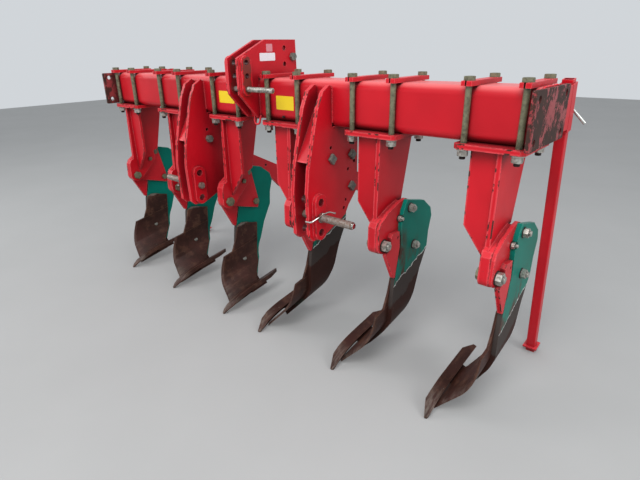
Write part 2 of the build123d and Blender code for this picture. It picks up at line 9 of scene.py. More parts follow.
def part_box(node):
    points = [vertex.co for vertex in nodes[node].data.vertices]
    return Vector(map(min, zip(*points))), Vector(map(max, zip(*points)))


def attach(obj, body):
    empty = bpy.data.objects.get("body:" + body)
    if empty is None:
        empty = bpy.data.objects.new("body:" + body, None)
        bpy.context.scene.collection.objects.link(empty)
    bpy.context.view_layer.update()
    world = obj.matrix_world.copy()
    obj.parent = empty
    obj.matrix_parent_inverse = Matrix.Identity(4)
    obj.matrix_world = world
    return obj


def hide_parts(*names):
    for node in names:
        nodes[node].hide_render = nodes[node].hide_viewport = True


# Mounted subsoiler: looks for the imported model.
# Metres. X runs along the beam, Y rearwards, Z up, with the floor at Z = 0.

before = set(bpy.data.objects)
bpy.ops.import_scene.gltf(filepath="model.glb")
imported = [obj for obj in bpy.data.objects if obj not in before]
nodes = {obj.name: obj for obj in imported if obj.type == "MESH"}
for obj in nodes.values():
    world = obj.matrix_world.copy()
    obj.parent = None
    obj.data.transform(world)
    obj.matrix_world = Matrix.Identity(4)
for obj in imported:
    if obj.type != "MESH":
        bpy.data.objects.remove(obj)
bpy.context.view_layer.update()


def centre(name, axis):
    """Middle of a node's box along one axis."""
    low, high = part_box(name)
    return (low[axis] + high[axis]) / 2


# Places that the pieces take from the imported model
beam_low, beam_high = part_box("main_beam")
beam_y = centre("main_beam", 1)
beam_bottom = beam_low.z
beam_top = beam_high.z
beam_front = beam_low.y
beam_end = beam_high.x
strap_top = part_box("clamp_straps")[1].z
strap_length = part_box("clamp_straps")[1].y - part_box("clamp_straps")[0].y
legs = [(number, -1 if number < 4 else 1) for number in range(1, 7)]
leg_x = {number: centre(f"leg_{number}_bracket", 0) for number, hand in legs}

# Places of the linkage. Y, here and in the tables below, counts from the beam's middle.
link_y = -0.207
link_z = 0.728
link_holes = (0.655, 0.801)
link_plate_faces = (0.410, 0.515)
top_link_y = -0.188
top_link_holes = (1.279, 1.401)
headstock_face = 0.045


# Camera, fitted to the photograph
lens_mm = 26.5
sensor_mm = 36.0
camera_place = Vector((1.8854, -1.7755 + beam_y, 1.46))
camera_yaw = radians(40.97)
camera_pitch = radians(22.18)
camera_roll = radians(-1.0)


def add_camera():
    """The photograph's viewpoint: turned left, tipped down and rolled a little."""
    forward = Vector((
        -sin(camera_yaw) * cos(camera_pitch),
        cos(camera_yaw) * cos(camera_pitch),
        -sin(camera_pitch),
    ))
    level = Vector((cos(camera_yaw), sin(camera_yaw), 0))
    upright = level.cross(forward)
    right = cos(camera_roll) * level + sin(camera_roll) * upright
    up = cos(camera_roll) * upright - sin(camera_roll) * level
    data = bpy.data.cameras.new("camera")
    data.lens = lens_mm
    data.sensor_width = sensor_mm
    data.sensor_fit = "HORIZONTAL"
    camera = bpy.data.objects.new("camera", data)
    bpy.context.scene.collection.objects.link(camera)
    turned = Matrix((right, up, -forward)).transposed().to_4x4()
    camera.matrix_world = Matrix.Translation(camera_place) @ turned
    bpy.context.scene.camera = camera


# Node trees


def node(tree, kind, inputs=None, **settings):
    """Adds a shader node, sets its fields and fills its inputs with values or links."""
    made = tree.nodes.new("ShaderNode" + kind)
    for key, value in settings.items():
        setattr(made, key, value)
    for key, value in (inputs or {}).items():
        socket = made.inputs[key]
        if isinstance(value, bpy.types.NodeSocket):
            tree.links.new(value, socket)
        else:
            socket.default_value = value
    return made


def maths(tree, operation, first, second=0.0, third=0.0):
    """One sum on up to three numbers."""
    made = node(tree, "Math", {0: first, 1: second, 2: third}, operation=operation)
    return made.outputs[0]


def times(tree, first, second):
    """Product of two numbers, or both of two masks."""
    return maths(tree, "MULTIPLY", first, second)


def larger(tree, first, second):
    """Larger of two numbers, or either of two masks."""
    return maths(tree, "MAXIMUM", first, second)


def scaled(tree, value, factor, added):
    """A number times a factor, plus another."""
    return maths(tree, "MULTIPLY_ADD", value, factor, added)


def step(tree, value, low, high):
    """0 below low, 1 above high, with a smooth rise between; low may be the larger."""
    made = node(
        tree, "MapRange",
        {"Value": value, "From Min": low, "From Max": high},
        interpolation_type="SMOOTHSTEP",
    )
    return made.outputs["Result"]


def blend(tree, factor, first, second):
    """Mixes two colours."""
    made = node(tree, "Mix", {0: factor, 6: first, 7: second}, data_type="RGBA")
    return made.outputs[2]


def place_axes(tree):
    """X, Y and Z of a point at rest."""
    place = node(tree, "TexCoord").outputs["Object"]
    return node(tree, "SeparateXYZ", {0: place}).outputs


def normal_axes(tree):
    """X, Y and Z of the way that a face looks."""
    normal = node(tree, "NewGeometry").outputs["Normal"]
    return node(tree, "SeparateXYZ", {0: normal}).outputs


def noise(tree, scale, detail=4.0, roughness=0.55, size=(1, 1, 1), shift=0.0):
    """Soft random pattern in the object's own space, stretched by size."""
    place = node(tree, "TexCoord").outputs["Object"]
    place = node(tree, "Mapping", {"Vector": place, "Scale": size}).outputs["Vector"]
    if shift:
        moved = node(tree, "VectorMath", {0: place, 1: (shift, shift, shift)}, operation="ADD")
        place = moved.outputs[0]
    made = node(
        tree, "TexNoise",
        {"Vector": place, "Scale": scale, "Detail": detail, "Roughness": roughness},
    )
    return made.outputs["Fac"]


def open_air(tree, distance):
    """How free of other faces a point is, from 0 to 1."""
    return node(tree, "AmbientOcclusion", {"Distance": distance}, samples=6).outputs["AO"]


def edge_mask(tree, radius):
    """1 along outer edges, from how far a rounded normal turns from the flat one."""
    rounded = node(tree, "Bevel", {"Radius": radius}, samples=6).outputs[0]
    flat = node(tree, "NewGeometry").outputs["Normal"]
    match = node(tree, "VectorMath", {0: rounded, 1: flat}, operation="DOT_PRODUCT")
    turned = step(tree, match.outputs["Value"], 0.995, 0.86)
    return times(tree, turned, step(tree, open_air(tree, 0.02), 0.45, 0.75))


def edge_band(tree):
    """1 within millimetres of an edge, from how soon rays sent inside meet the next face."""
    inside = node(
        tree, "AmbientOcclusion", {"Distance": 0.007},
        samples=12, inside=True, only_local=True,
    )
    return step(tree, inside.outputs["AO"], 0.99, 0.91)


def crevice_mask(tree, distance):
    """1 in corners and behind fittings, from occlusion; it places painted shade, and on worn steel
    rust in hollows.
    """
    return step(tree, open_air(tree, distance), 0.75, 0.25)


def facing_up(tree):
    """1 on faces that look at the sky."""
    return step(tree, normal_axes(tree)["Z"], 0.35, 0.95)


def new_material(name, metallic=0.0, coat=0.0, coat_roughness=0.15, specular=0.5):
    """A material with its shader; returns the material, its tree and the shader."""
    made = bpy.data.materials.new(name)
    made.use_nodes = True
    shader = made.node_tree.nodes["Principled BSDF"]
    shader.inputs["Metallic"].default_value = metallic
    shader.inputs["Coat Weight"].default_value = coat
    shader.inputs["Coat Roughness"].default_value = coat_roughness
    shader.inputs["Specular IOR Level"].default_value = specular
    return made, made.node_tree, shader


def finish_surface(tree, shader, colour, roughness, height, strength, distance, soft_edge=0.0015):
    """Links colour, roughness and bump, on slightly rounded edges."""
    rounded = node(tree, "Bevel", {"Radius": soft_edge}, samples=4).outputs[0]
    bumped = node(
        tree, "Bump",
        {"Height": height, "Normal": rounded, "Strength": strength, "Distance": distance},
    ).outputs[0]
    tree.links.new(colour, shader.inputs["Base Color"])
    tree.links.new(roughness, shader.inputs["Roughness"])
    tree.links.new(bumped, shader.inputs["Normal"])


# Colours, linear
red_full = (0.60, 0.006, 0.016, 1)
red_deep = (0.47, 0.003, 0.011, 1)
red_faded_and_sheen = (0.80, 0.090, 0.105, 1)
red_pale_and_sheen = (0.86, 0.22, 0.22, 1)
red_painted_shade = (0.16, 0.004, 0.008, 1)
plate_red = (0.34, 0.034, 0.042, 1)
plate_dull = (0.26, 0.050, 0.050, 1)
plate_faded_and_sheen = (0.55, 0.10, 0.10, 1)
teal_full = (0.0, 0.110, 0.080, 1)
teal_pale = (0.0, 0.200, 0.150, 1)
teal_chalk = (0.06, 0.33, 0.26, 1)
chip_and_shade_dark = (0.018, 0.012, 0.011, 1)
rust_brown = (0.062, 0.022, 0.013, 1)
rust_pale = (0.160, 0.080, 0.050, 1)
rust_red = (0.105, 0.030, 0.020, 1)
steel_brown = (0.027, 0.010, 0.007, 1)
steel_plum = (0.048, 0.017, 0.013, 1)
steel_grey = (0.055, 0.047, 0.043, 1)
steel_bright = (0.62, 0.64, 0.62, 1)
dust_grey = (0.30, 0.27, 0.23, 1)
olive_zinc = (0.200, 0.195, 0.120, 1)
olive_dark = (0.085, 0.080, 0.050, 1)
grey_zinc = (0.20, 0.20, 0.175, 1)
grey_dark = (0.07, 0.07, 0.06, 1)
zinc_pale = (0.56, 0.55, 0.50, 1)
zinc_dark = (0.16, 0.15, 0.125, 1)
pin_grey = (0.34, 0.31, 0.28, 1)
sticker_yellow = (0.85, 0.60, 0.01, 1)
sticker_white = (0.75, 0.75, 0.78, 1)
sticker_pink = (0.62, 0.24, 0.27, 1)
floor_dark = (0.37, 0.37, 0.365, 1)
floor_pale = (0.42, 0.42, 0.415, 1)
sky_colour = (0.86, 0.90, 0.94, 1)


def slot_area(tree, y, low, high, radius):
    """1 inside a slot-shaped area on a plate across X, with a ragged rim."""
    place = place_axes(tree)
    aside = maths(tree, "ABSOLUTE", maths(tree, "SUBTRACT", place["Y"], y))
    above = maths(tree, "ABSOLUTE", maths(tree, "SUBTRACT", place["Z"], (low + high) / 2))
    above = larger(tree, maths(tree, "SUBTRACT", above, (high - low) / 2), 0.0)
    away = maths(tree, "SQRT", scaled(tree, aside, aside, times(tree, above, above)))
    away = scaled(tree, noise(tree, 38, 6, 0.7, shift=6.1), 0.045, away)
    return step(tree, away, radius + 0.0245, radius + 0.0215)


def stone_marks(tree, stones):
    """Clusters of short marks, as stones leave them; more with a higher number."""
    marks = noise(tree, 55, 4, 0.6, size=(0.5, 1, 0.45), shift=8.4)
    low = 0.56 - 0.1 * stones
    cluster = step(tree, noise(tree, 11, 2, 0.5, shift=2.9), low, low + 0.04)
    return times(tree, cluster, step(tree, marks, 0.50, 0.52))


def painted(
    name, full, deep, faded_and_sheen,
    chips=0.5, edge_wear=0.5, cover=0.0, fade_and_sheen=0.25, sky=0.3, stones=0.0, rubbed=None,
):
    """Glossy paint: edges paler from fading and a painted highlight, dark chips along them, spots
    on the flats and painted shade in corners.

    Cover spreads bare patches over all of it. Stones chip edges that look forward, which also get a
    painted highlight.
    Rubbed names a rusty slot-shaped area: Y, low Z, high Z and radius.
    """
    made, tree, shader = new_material(name, coat=0.07, coat_roughness=0.2, specular=0.3)
    patch = noise(tree, 9, 5, 0.6, shift=3.1)
    fine = noise(tree, 75, 6, 0.65, shift=1.3)
    # Paler colour: on edges, as fading plus a painted highlight; on scuffs; and on faces that look
    # up
    colour = blend(tree, step(tree, noise(tree, 2.3, 3), 0.3, 0.7), full, deep)
    colour = blend(tree, times(tree, edge_mask(tree, 0.005), fade_and_sheen + 0.5), colour, faded_and_sheen)
    scuffs = step(tree, noise(tree, 26, 6, 0.7, size=(1, 1, 0.22), shift=7.7), 0.62, 0.8)
    colour = blend(tree, times(tree, scuffs, fade_and_sheen * 0.6), colour, faded_and_sheen)
    up = times(tree, facing_up(tree), scaled(tree, patch, 0.3, sky - 0.15))
    colour = blend(tree, up, colour, faded_and_sheen)
    # Chips: many along the edges, few on the flats
    near_edge = times(tree, edge_mask(tree, 0.010), step(tree, patch, 0.62 - 0.3 * edge_wear, 0.75))
    low = 0.60 - 0.16 * chips
    chip = times(tree, near_edge, step(tree, fine, low, low + 0.04))
    if stones:
        front = times(tree, edge_band(tree), step(tree, normal_axes(tree)["Y"], -0.6, -0.85))
        # Narrow faces that look forward are made paler as a painted highlight
        colour = blend(tree, times(tree, front, 0.4), colour, faded_and_sheen)
        chip = larger(tree, chip, times(tree, front, stone_marks(tree, stones)))
    low = 0.735 - 0.05 * chips
    spot = times(tree, step(tree, fine, low, low + 0.01), step(tree, patch, 0.5, 0.6))
    chip = larger(tree, chip, spot)
    if cover:
        bare_patch = noise(tree, 15, 9, 0.78, size=(1, 1, 0.7), shift=5.5)
        low = 0.62 - 0.25 * cover
        chip = larger(tree, chip, step(tree, bare_patch, low, low + 0.02))
    if rubbed:
        colour = blend(tree, times(tree, slot_area(tree, *rubbed), 0.85), colour, rust_red)
    bare = blend(tree, noise(tree, 40, 4, shift=2.2), chip_and_shade_dark, rust_brown)
    colour = blend(tree, chip, colour, bare)
    # Painted shade: wide and red in deep corners, narrow and dark beside fittings
    colour = blend(tree, times(tree, crevice_mask(tree, 0.22), 0.85), colour, red_painted_shade)
    colour = blend(tree, times(tree, crevice_mask(tree, 0.05), 0.45), colour, chip_and_shade_dark)
    rough = scaled(tree, chip, 0.35, scaled(tree, patch, 0.2, 0.3))
    height = scaled(tree, chip, -0.8, times(tree, noise(tree, 420, 2), 0.12))
    finish_surface(tree, shader, colour, rough, height, 0.6, 0.0006)
    return made


def tine_paint(number, level, slope):
    """Teal paint, worn off the outer face below a slanting line and rusty along its front.

    The line is Z = level + slope * Y, with Y from the beam's middle.
    """
    made, tree, shader = new_material(f"tine_paint_{number}", specular=0.10)
    place = place_axes(tree)
    normal = normal_axes(tree)
    outward = times(tree, normal["X"], maths(tree, "SIGN", place["X"]))
    outer = step(tree, outward, 0.2, 0.4)
    front = step(tree, normal["Y"], -0.5, -0.8)
    # Height above the ragged worn line
    ragged = noise(tree, 24, 6, 0.6, shift=0.7)
    line = scaled(tree, maths(tree, "SUBTRACT", place["Y"], beam_y), slope, level)
    line = scaled(tree, maths(tree, "SUBTRACT", ragged, 0.5), 0.05, line)
    above = maths(tree, "SUBTRACT", place["Z"], line)
    # The outer face, the front edge and what looks down lose their paint below the line
    bare_side = larger(tree, step(tree, outward, 0.1, 0.3), front)
    bare_side = larger(tree, bare_side, step(tree, normal["Z"], -0.35, -0.6))
    worn = times(tree, step(tree, above, 0.0015, -0.0015), bare_side)
    # Front faces are brown up to the bend, and the foot is brown all round
    front_low = times(tree, front, step(tree, place["Z"], 0.475, 0.455))
    foot = step(tree, scaled(tree, ragged, 0.05, place["Z"]), 0.150, 0.140)
    worn = larger(tree, worn, larger(tree, front_low, foot))
    # A bright line of bare steel just above the worn line on the outer face, with a painted
    # highlight in its colour
    lip = times(tree, step(tree, above, 0.0045, 0.003), step(tree, above, -0.002, 0.0))
    lip = times(tree, lip, outer)
    broad = noise(tree, 5, 4, shift=9.1)
    colour = blend(tree, broad, teal_full, teal_pale)
    colour = blend(tree, times(tree, edge_mask(tree, 0.005), 0.7), colour, teal_chalk)
    # Rust runs down beside the front edge and spreads above the line
    near_line = step(tree, above, 0.16, 0.0)
    near_front = step(tree, place["Y"], beam_y + 0.075, beam_y + 0.01)
    low_half = step(tree, place["Z"], 0.72, 0.60)
    reach = larger(tree, near_line, times(tree, near_front, low_half))
    stain = step(tree, noise(tree, 15, 6, 0.7, size=(1, 1, 0.3), shift=6.4), 0.46, 0.60)
    stain = times(tree, times(tree, stain, reach), larger(tree, front, outer))
    colour = blend(tree, stain, colour, rust_brown)
    fine = noise(tree, 80, 6, 0.65, shift=1.9)
    chip = times(tree, edge_mask(tree, 0.007), step(tree, fine, 0.56, 0.60))
    chip = larger(tree, chip, step(tree, fine, 0.73, 0.74))
    colour = blend(tree, chip, colour, rust_brown)
    # The bare steel is grey under the line and redder lower down
    bare = blend(tree, noise(tree, 14, 5, shift=3.3), steel_brown, steel_plum)
    bare = blend(tree, step(tree, noise(tree, 30, 6, 0.7, shift=8.8), 0.62, 0.8), bare, rust_pale)
    grey_end = scaled(tree, broad, 0.10, -0.15)
    grey = step(tree, maths(tree, "SUBTRACT", above, grey_end), -0.005, 0.010)
    bare = blend(tree, times(tree, grey, 0.8), bare, steel_grey)
    colour = blend(tree, worn, colour, bare)
    colour = blend(tree, lip, colour, steel_bright)
    # Painted shade in corners
    colour = blend(tree, times(tree, crevice_mask(tree, 0.04), 0.4), colour, chip_and_shade_dark)
    rough = scaled(tree, worn, 0.2, 0.35)
    height = scaled(tree, worn, -0.7, times(tree, noise(tree, 160, 4), 0.2))
    finish_surface(tree, shader, colour, rough, height, 0.6, 0.0008)
    return made


def worn_steel(name, paler=0.0, rim=None):
    """Brown worn steel, scratched the way the soil runs, with a bright rim above a height."""
    made, tree, shader = new_material(name, metallic=0.05, specular=0.18)
    place = place_axes(tree)
    broad = noise(tree, 8, 5, 0.6, shift=2.6)
    streaks = noise(tree, 60, 5, 0.7, size=(1, 0.12, 0.35), shift=4.9)
    colour = blend(tree, step(tree, broad, 0.35, 0.65), steel_brown, steel_plum)
    colour = blend(tree, times(tree, step(tree, streaks, 0.52, 0.8), 0.35), colour, rust_pale)
    rusty = step(tree, noise(tree, 13, 7, 0.68, shift=1.7), 0.50, 0.64)
    rust = blend(tree, broad, rust_brown, rust_pale)
    colour = blend(tree, times(tree, rusty, 0.35 + paler), colour, rust)
    if rim:
        ragged = scaled(tree, noise(tree, 34, 6, 0.7, shift=3.9), 0.05, place["Z"])
        bright = times(tree, step(tree, ragged, rim + 0.008, rim + 0.020), 0.5)
        colour = blend(tree, bright, colour, dust_grey)
    colour = blend(tree, times(tree, edge_mask(tree, 0.005), 0.5), colour, rust_pale)
    # The last stretch towards the tips is rubbed bright
    near_tip = step(tree, place["Y"], beam_y - 0.16, beam_y - 0.30)
    rubbed = times(tree, near_tip, step(tree, streaks, 0.40, 0.62))
    colour = blend(tree, times(tree, rubbed, 0.30), colour, dust_grey)
    specks = step(tree, noise(tree, 95, 3, 0.5, shift=7.1), 0.72, 0.76)
    colour = blend(tree, times(tree, specks, 0.4), colour, dust_grey)
    colour = blend(tree, times(tree, crevice_mask(tree, 0.03), 0.6), colour, rust_brown)
    rough = scaled(tree, streaks, 0.3, 0.36)
    height = scaled(tree, streaks, 0.5, times(tree, noise(tree, 220, 5, 0.7), 0.4))
    finish_surface(tree, shader, colour, rough, height, 0.5, 0.0008, soft_edge=0.003)
    return made


def plated(name, light, dark, metallic, roughness, rust=0.2):
    """Plated steel: mottled, with painted shade in corners, a little rust."""
    made, tree, shader = new_material(name, metallic=metallic)
    mottle = noise(tree, 70, 5, 0.6, shift=5.2)
    colour = blend(tree, step(tree, mottle, 0.3, 0.75), light, dark)
    spots = step(tree, noise(tree, 130, 4, 0.6, shift=0.4), 0.66 - 0.1 * rust, 0.72)
    colour = blend(tree, times(tree, spots, rust + 0.3), colour, rust_brown)
    # Painted shade in corners and under heads
    colour = blend(tree, times(tree, crevice_mask(tree, 0.012), 0.7), colour, chip_and_shade_dark)
    rough = scaled(tree, mottle, 0.25, roughness - 0.1)
    height = times(tree, noise(tree, 300, 4), 0.5)
    finish_surface(tree, shader, colour, rough, height, 0.35, 0.0004, soft_edge=0.0008)
    return made


def sticker_paper(name, paper, scuff):
    """Plain vinyl sticker, a little scuffed."""
    made, tree, shader = new_material(name)
    marks = step(tree, noise(tree, 55, 6, 0.7, shift=scuff), 0.6, 0.8)
    colour = blend(tree, times(tree, marks, 0.3), paper, dust_grey)
    rough = scaled(tree, marks, 0.3, 0.35)
    finish_surface(tree, shader, colour, rough, noise(tree, 90, 3), 0.1, 0.0003, soft_edge=0.0003)
    return made


# Where each tine's paint is worn off: leg, level and slope of the line
worn_lines = [
    (1, 0.42, 0.36),
    (2, 0.40, 0.36),
    (3, 0.43, 0.36),
    (4, 0.47, 0.36),
    (5, 0.425, 0.355),
    (6, 0.372, 0.48),
]

materials = {}


def make_materials():
    """All the materials, by name."""
    red = (red_full, red_deep, red_faded_and_sheen)
    rubbed = (beam_y + top_link_y, *top_link_holes, 0.024)
    materials["frame"] = painted("frame_paint", *red)
    materials["bracket"] = painted("bracket_paint", *red, chips=0.9, edge_wear=0.9, stones=0.8)
    materials["beam"] = painted(
        "beam_paint", red_full, red_deep, red_pale_and_sheen,
        chips=0.15, edge_wear=0.2, fade_and_sheen=0.12, sky=0.6,
    )
    materials["headstock"] = painted(
        "headstock_paint", *red,
        chips=0.7, edge_wear=0.9, stones=1.0, rubbed=rubbed,
    )
    materials["link_bracket"] = painted(
        "link_bracket_paint", *red,
        chips=0.8, edge_wear=1.0, stones=1.0,
    )
    materials["end_plate"] = painted(
        "end_plate_paint", plate_red, plate_dull, plate_faded_and_sheen,
        chips=1.0, edge_wear=1.0, cover=0.58, fade_and_sheen=0.4,
    )
    materials["weld"] = painted("weld_paint", *red, chips=0.2, edge_wear=0.1, fade_and_sheen=0.1)
    for number, level, slope in worn_lines:
        materials[f"tine_{number}"] = tine_paint(number, level, slope)
    shin_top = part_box("leg_1_shin")[1].z
    materials["worn"] = worn_steel("worn_steel")
    materials["shin"] = worn_steel("shin_steel", paler=0.35, rim=shin_top)
    materials["olive"] = plated("olive_zinc", olive_zinc, olive_dark, 0.25, 0.5)
    materials["grey"] = plated("grey_zinc", grey_zinc, grey_dark, 0.25, 0.5)
    materials["zinc"] = plated("pale_zinc", zinc_pale, zinc_dark, 0.7, 0.36)
    materials["pin"] = plated("pin_steel", pin_grey, rust_pale, 0.5, 0.45, rust=0.7)
    materials["chrome"] = plated("bright_steel", steel_bright, zinc_pale, 1.0, 0.2, rust=0.0)
    materials["dark"] = plated("dark_steel", chip_and_shade_dark, steel_brown, 0.3, 0.55, rust=0.1)
    materials["yellow"] = sticker_paper("yellow_sticker", sticker_yellow, 1.1)
    materials["white"] = sticker_paper("white_sticker", sticker_white, 2.4)
    materials["pink"] = sticker_paper("faded_sticker", sticker_pink, 3.7)


def dress_nodes():
    """Gives each carried-over piece its material."""
    by_name = {
        "main_beam": "beam",
        "end_plate_right": "end_plate",
        "end_plate_left": "end_plate",
        "headstock_right": "headstock",
        "headstock_left": "headstock",
        "link_bracket_right": "link_bracket",
        "link_bracket_left": "link_bracket",
        "link_pin_right": "pin",
        "link_pin_left": "pin",
        "frame_bolts": "grey",
    }
    by_ending = {
        "_bracket": "bracket",
        "_pivot_plate": "bracket",
        "_shin": "shin",
    }
    for name, piece in nodes.items():
        finish = by_name.get(name, "frame")
        for ending, leg_finish in by_ending.items():
            if name.startswith("leg_") and name.endswith(ending):
                finish = leg_finish
        piece.data.materials.clear()
        piece.data.materials.append(materials[finish])


# Pieces made here. Turned pieces are rings of (radius, height) about an axis.

segments = 24
chamfer_slope = tan(radians(30))
chamfer_circle = 0.475
disc_edge = 0.001
thread_pitch = 0.003
thread_depth = 0.0016
sharp_angle = radians(35)
merge_distance = 0.00002


def linked(name, data):
    """An object for a mesh, in the scene."""
    made = bpy.data.objects.new(name, data)
    bpy.context.scene.collection.objects.link(made)
    return made


def finished(name, shape, finishes, replaced=(), body="frame"):
    """Turns mesh code into a piece that rides on a body."""
    bmesh.ops.recalc_face_normals(shape, faces=shape.faces)
    for face in shape.faces:
        face.smooth = True
    for edge in shape.edges:
        edge.smooth = len(edge.link_faces) == 2 and edge.calc_face_angle() < sharp_angle
    data = bpy.data.meshes.new(name)
    shape.to_mesh(data)
    shape.free()
    for finish in finishes:
        data.materials.append(materials[finish])
    piece = linked(name, data)
    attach(piece, body)
    if replaced:
        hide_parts(*replaced)
    return piece


def skin(shape, loops, finish=0):
    """Faces between loops of corners, with both ends closed."""
    faces = [shape.faces.new(loops[0][::-1]), shape.faces.new(loops[-1])]
    for lower, upper in zip(loops, loops[1:]):
        for index in range(len(lower)):
            after = (index + 1) % len(lower)
            faces.append(shape.faces.new((lower[index], lower[after], upper[after], upper[index])))
    for face in faces:
        face.material_index = finish


def extrude(shape, corners, along):
    """A prism over a loop of corners."""
    face = shape.faces.new(corners)
    made = bmesh.ops.extrude_face_region(shape, geom=[face])["geom"]
    far = [item for item in made if isinstance(item, bmesh.types.BMVert)]
    bmesh.ops.translate(shape, vec=along, verts=far)


def round_ring(radius, height):
    """A circle at one height."""
    return [(radius, height)] * segments


def hex_ring(flats, height, slope=0.0):
    """A hexagon whose corners drop below the height by the slope of a chamfer."""
    ring = []
    for index in range(segments):
        turn = radians((index * 360 / segments + 30) % 60 - 30)
        radius = flats / 2 / cos(turn)
        ring.append((radius, height - slope * (radius - flats / 2)))
    return ring


def add_turned(shape, placed, rings, finish=0):
    """Skins rings of (radius, height) about the placed Z axis."""
    loops = []
    for ring in rings:
        loop = []
        for index, (radius, height) in enumerate(ring):
            angle = 2 * pi * index / segments
            corner = Vector((radius * cos(angle), radius * sin(angle), height))
            loop.append(shape.verts.new(placed @ corner))
        loops.append(loop)
    skin(shape, loops, finish)


def add_head(shape, placed, start, height, flats, finish=0):
    """A bolt head with the chamfer that rounds its corners off."""
    top = start + height
    rings = [
        hex_ring(flats, start),
        hex_ring(flats, top, chamfer_slope),
        round_ring(chamfer_circle * flats, top),
    ]
    add_turned(shape, placed, rings, finish)


def add_nut(shape, placed, start, height, flats, finish=0):
    """A nut, chamfered at both faces."""
    top = start + height
    rings = [
        round_ring(chamfer_circle * flats, start),
        hex_ring(flats, start, -chamfer_slope),
        hex_ring(flats, top, chamfer_slope),
        round_ring(chamfer_circle * flats, top),
    ]
    add_turned(shape, placed, rings, finish)


def add_disc(shape, placed, start, height, diameter, finish=0):
    """A washer or a plain round length with a small chamfer at its far end."""
    radius = diameter / 2
    edge = min(disc_edge, height / 3)
    rings = [
        round_ring(radius, start),
        round_ring(radius, start + height - edge),
        round_ring(radius - edge, start + height),
    ]
    add_turned(shape, placed, rings, finish)


def add_thread(shape, placed, start, length, diameter, finish=0):
    """A threaded length, drawn as close ridges."""
    rings = []
    for turn in range(round(length / thread_pitch)):
        low = start + turn * thread_pitch
        rings.append(round_ring(diameter / 2 - thread_depth, low))
        rings.append(round_ring(diameter / 2, low + thread_pitch / 2))
    rings.append(round_ring(diameter / 2 - thread_depth, start + length))
    add_turned(shape, placed, rings, finish)


def across_beam(x, y, z, hand, spin=0.0):
    """A frame whose Z axis points outwards along the beam on the right (1) or left (-1)."""
    turned = Matrix.Rotation(hand * pi / 2, 4, "Y") @ Matrix.Rotation(spin, 4, "Z")
    return Matrix.Translation((x, y, z)) @ turned


def spread(points, gap):
    """Points at about even gaps along a line of points."""
    placed = [Vector(points[0])]
    for first, second in zip(points, points[1:]):
        first, second = Vector(first), Vector(second)
        count = max(1, round((second - first).length / gap))
        placed += [first.lerp(second, index / count) for index in range(1, count + 1)]
    return placed


def bent(points, reach, steps=5):
    """A line of points whose corners are rounded, each from reach before it to reach after it."""
    points = [Vector(point) for point in points]
    made = [points[0]]
    for before, corner, after in zip(points, points[1:], points[2:]):
        start = corner + (before - corner).normalized() * reach
        stop = corner + (after - corner).normalized() * reach
        for index in range(steps + 1):
            share = index / steps
            made.append(start.lerp(corner, share).lerp(corner.lerp(stop, share), share))
    return made + [points[-1]]


def add_bar(shape, points, radii, sides=8):
    """A round bar through points, with a radius at each."""
    upright = abs((points[1] - points[0]).normalized().z) >= 0.9
    normal = Vector((1, 0, 0)) if upright else Vector((0, 0, 1))
    loops = []
    for index, point in enumerate(points):
        before = points[max(index - 1, 0)]
        after = points[min(index + 1, len(points) - 1)]
        tangent = (after - before).normalized()
        normal = (normal - tangent * normal.dot(tangent)).normalized()
        other = tangent.cross(normal)
        loop = []
        for side in range(sides):
            angle = 2 * pi * side / sides
            reach = normal * cos(angle) + other * sin(angle)
            loop.append(shape.verts.new(point + reach * radii[index]))
        loops.append(loop)
    skin(shape, loops)


# Clamps: half gaps between the bolts, and sizes of bolts, washers, nuts and straps
clamp_half_x = 0.1005
clamp_half_y = 0.113
clamp_bolt = 0.024
clamp_shank = 0.0225
clamp_flats = 0.036
clamp_head = 0.015
clamp_washer = 0.048
clamp_washer_thick = 0.006
clamp_nut = 0.022
base_thick = 0.020
thread_above_base = 0.034
strap_half_width = 0.020
strap_edge = 0.0012
slit_low = -0.006
slit_high = 0.0005


def make_clamp_bolts():
    """The long bolts of the clamps, each with its head, its threaded end, a washer and a nut."""
    shape = bmesh.new()
    draw = Random(11)
    thread_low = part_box("clamp_bolts")[0].z
    seat = beam_bottom - base_thick
    thread_top = beam_bottom + thread_above_base
    for x in leg_x.values():
        for side_x, side_y in ((-1, -1), (1, -1), (-1, 1), (1, 1)):
            place = (x + side_x * clamp_half_x, beam_y + side_y * clamp_half_y, 0)
            placed = Matrix.Translation(place) @ Matrix.Rotation(draw.uniform(0, pi / 3), 4, "Z")
            add_head(shape, placed, strap_top, clamp_head, clamp_flats)
            add_disc(shape, placed, thread_top, strap_top - thread_top, clamp_shank)
            add_thread(shape, placed, seat, thread_above_base + base_thick, clamp_bolt)
            add_thread(shape, placed, thread_low, seat - thread_low, clamp_bolt, 1)
            washer_low = seat - clamp_washer_thick
            add_disc(shape, placed, washer_low, clamp_washer_thick, clamp_washer, 2)
            add_nut(shape, placed, washer_low - clamp_nut, clamp_nut, clamp_flats, 2)
    finished("clamp_bolt_set", shape, ["olive", "dark", "zinc"], ["clamp_bolts"])


# Pivot, shear and tine bolts of a leg: diameter, flats, inner face, outer face, Y, Z and
# the length of thread that shows. Faces are measured outwards from the clamp's middle.
leg_bolts = [
    (0.030, 0.046, 0.031, 0.088, -0.122, 0.635, 0.008),
    (0.016, 0.024, 0.031, 0.088, -0.004, 0.733, 0.012),
    (0.024, 0.036, 0.072, 0.108, 0.062, 0.771, 0.009),
    (0.024, 0.036, 0.072, 0.108, 0.114, 0.572, 0.009),
]
# Heights of head and nut per diameter, and a washer's width per flats
head_share = 0.6
nut_share = 0.8
washer_share = 1.3
leg_washer_thick = 0.003


